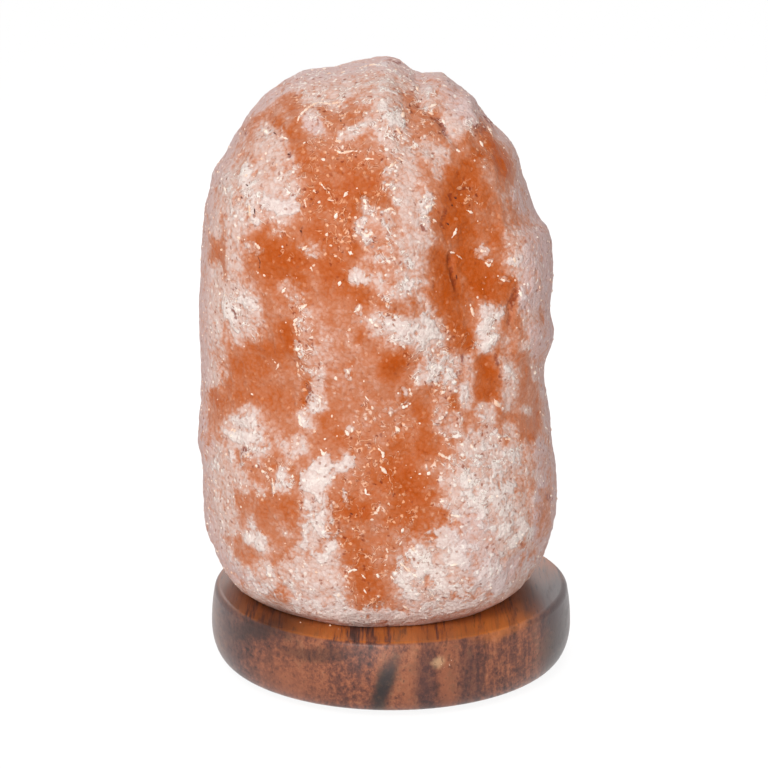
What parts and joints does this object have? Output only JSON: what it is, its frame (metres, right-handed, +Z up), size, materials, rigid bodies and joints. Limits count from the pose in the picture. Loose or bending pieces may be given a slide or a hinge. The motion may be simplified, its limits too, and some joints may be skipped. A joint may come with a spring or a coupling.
{
  "type": "salt crystal lamp",
  "caption": "Table lamp: a rough rock-salt crystal on a turned wooden disc, with a spring-held bulb holder that pulls out from below.",
  "frame": {"origin": "on the table, on the axis of the wooden base, which is the centre of the lamp's footprint to about 1 mm", "axes": "+Z up, -Y the front that the picture shows, +X to the right seen from the front; the cord channel leaves at +Y"},
  "size_m": [0.1071, 0.105, 0.174],
  "materials": {
    "rock_salt": "rough translucent crystal with a frosty crust",
    "turned_wood": "oiled dark hardwood, satin",
    "foot_rubber": "matte",
    "steel": "plain zinc-plated",
    "spring_steel": "blued spring sheet",
    "nylon": "grey nylon",
    "holder_plastic": "off-white moulded plastic",
    "gland_plastic": "black moulded plastic",
    "insert_ceramic": "matte fired ceramic",
    "contact_brass": "plain rolled brass",
    "cap_metal": "nickel-plated brass",
    "solder": "dull solder",
    "black_glass": "glossy black glass",
    "clear_glass": "clear",
    "lead_wire": "nickel wire",
    "tungsten": "fine coil"
  },
  "bodies": {
    "stand": {"salt_crystal": "rock_salt", "wooden_base": "turned_wood", "foot_front_left": "foot_rubber", "foot_front_right": "foot_rubber", "foot_back_left": "foot_rubber", "foot_back_right": "foot_rubber", "crystal_screws": "steel", "crystal_plugs": "nylon"},
    "holder": {"holder_cap": "holder_plastic", "holder_skirt": "holder_plastic", "cord_inlet": "gland_plastic", "gland_nut": "gland_plastic", "contact_insert": "insert_ceramic", "centre_contact": "contact_brass", "contact_rivet": "contact_brass", "terminal_plate": "contact_brass", "side_contact": "contact_brass", "terminal_screws": "steel", "screw_shell": "contact_brass"},
    "spring_leaf_left": {"leaf_left": "spring_steel"},
    "spring_leaf_right": {"leaf_right": "spring_steel"},
    "bulb_contact": {"bulb_tip": "solder"},
    "bulb": {"bulb_insulator": "black_glass", "bulb_cap": "cap_metal", "bulb_envelope": "clear_glass", "bulb_stem": "clear_glass", "bulb_leads": "lead_wire", "bulb_filament": "tungsten", "filament_support": "lead_wire"}
  },
  "joints": [
    {"name": "holder_pull", "type": "slide", "parent": "stand", "child": "holder", "axis": [0, 0, -1], "range_m": [0, 0.092]},
    {"name": "left_leaf_squeeze", "type": "hinge", "parent": "holder", "child": "spring_leaf_left", "pos_m": [-0.0156, 0, 0.046], "axis": [0, -1, 0], "range_deg": [0, 4.5], "stiffness_Nm_per_rad": 0.05, "springref_deg": -6.88},
    {"name": "right_leaf_squeeze", "type": "hinge", "parent": "holder", "child": "spring_leaf_right", "pos_m": [0.0156, 0, 0.046], "axis": [0, 1, 0], "range_deg": [0, 4.5], "stiffness_Nm_per_rad": 0.05, "springref_deg": -6.88},
    {"name": "bulb_rise", "type": "slide", "parent": "holder", "child": "bulb_contact", "axis": [0, 0, 1], "range_m": [0, 0.0141]},
    {"name": "bulb_turn", "type": "hinge", "parent": "bulb_contact", "child": "bulb", "pos_m": [0, 0, 0.0343], "axis": [0, 0, 1], "range_deg": [0, 1800]}
  ],
  "couplings": [
    {"joint": "bulb_rise", "follows": "bulb_turn", "m_per_rad": 0.00044882}
  ]
}
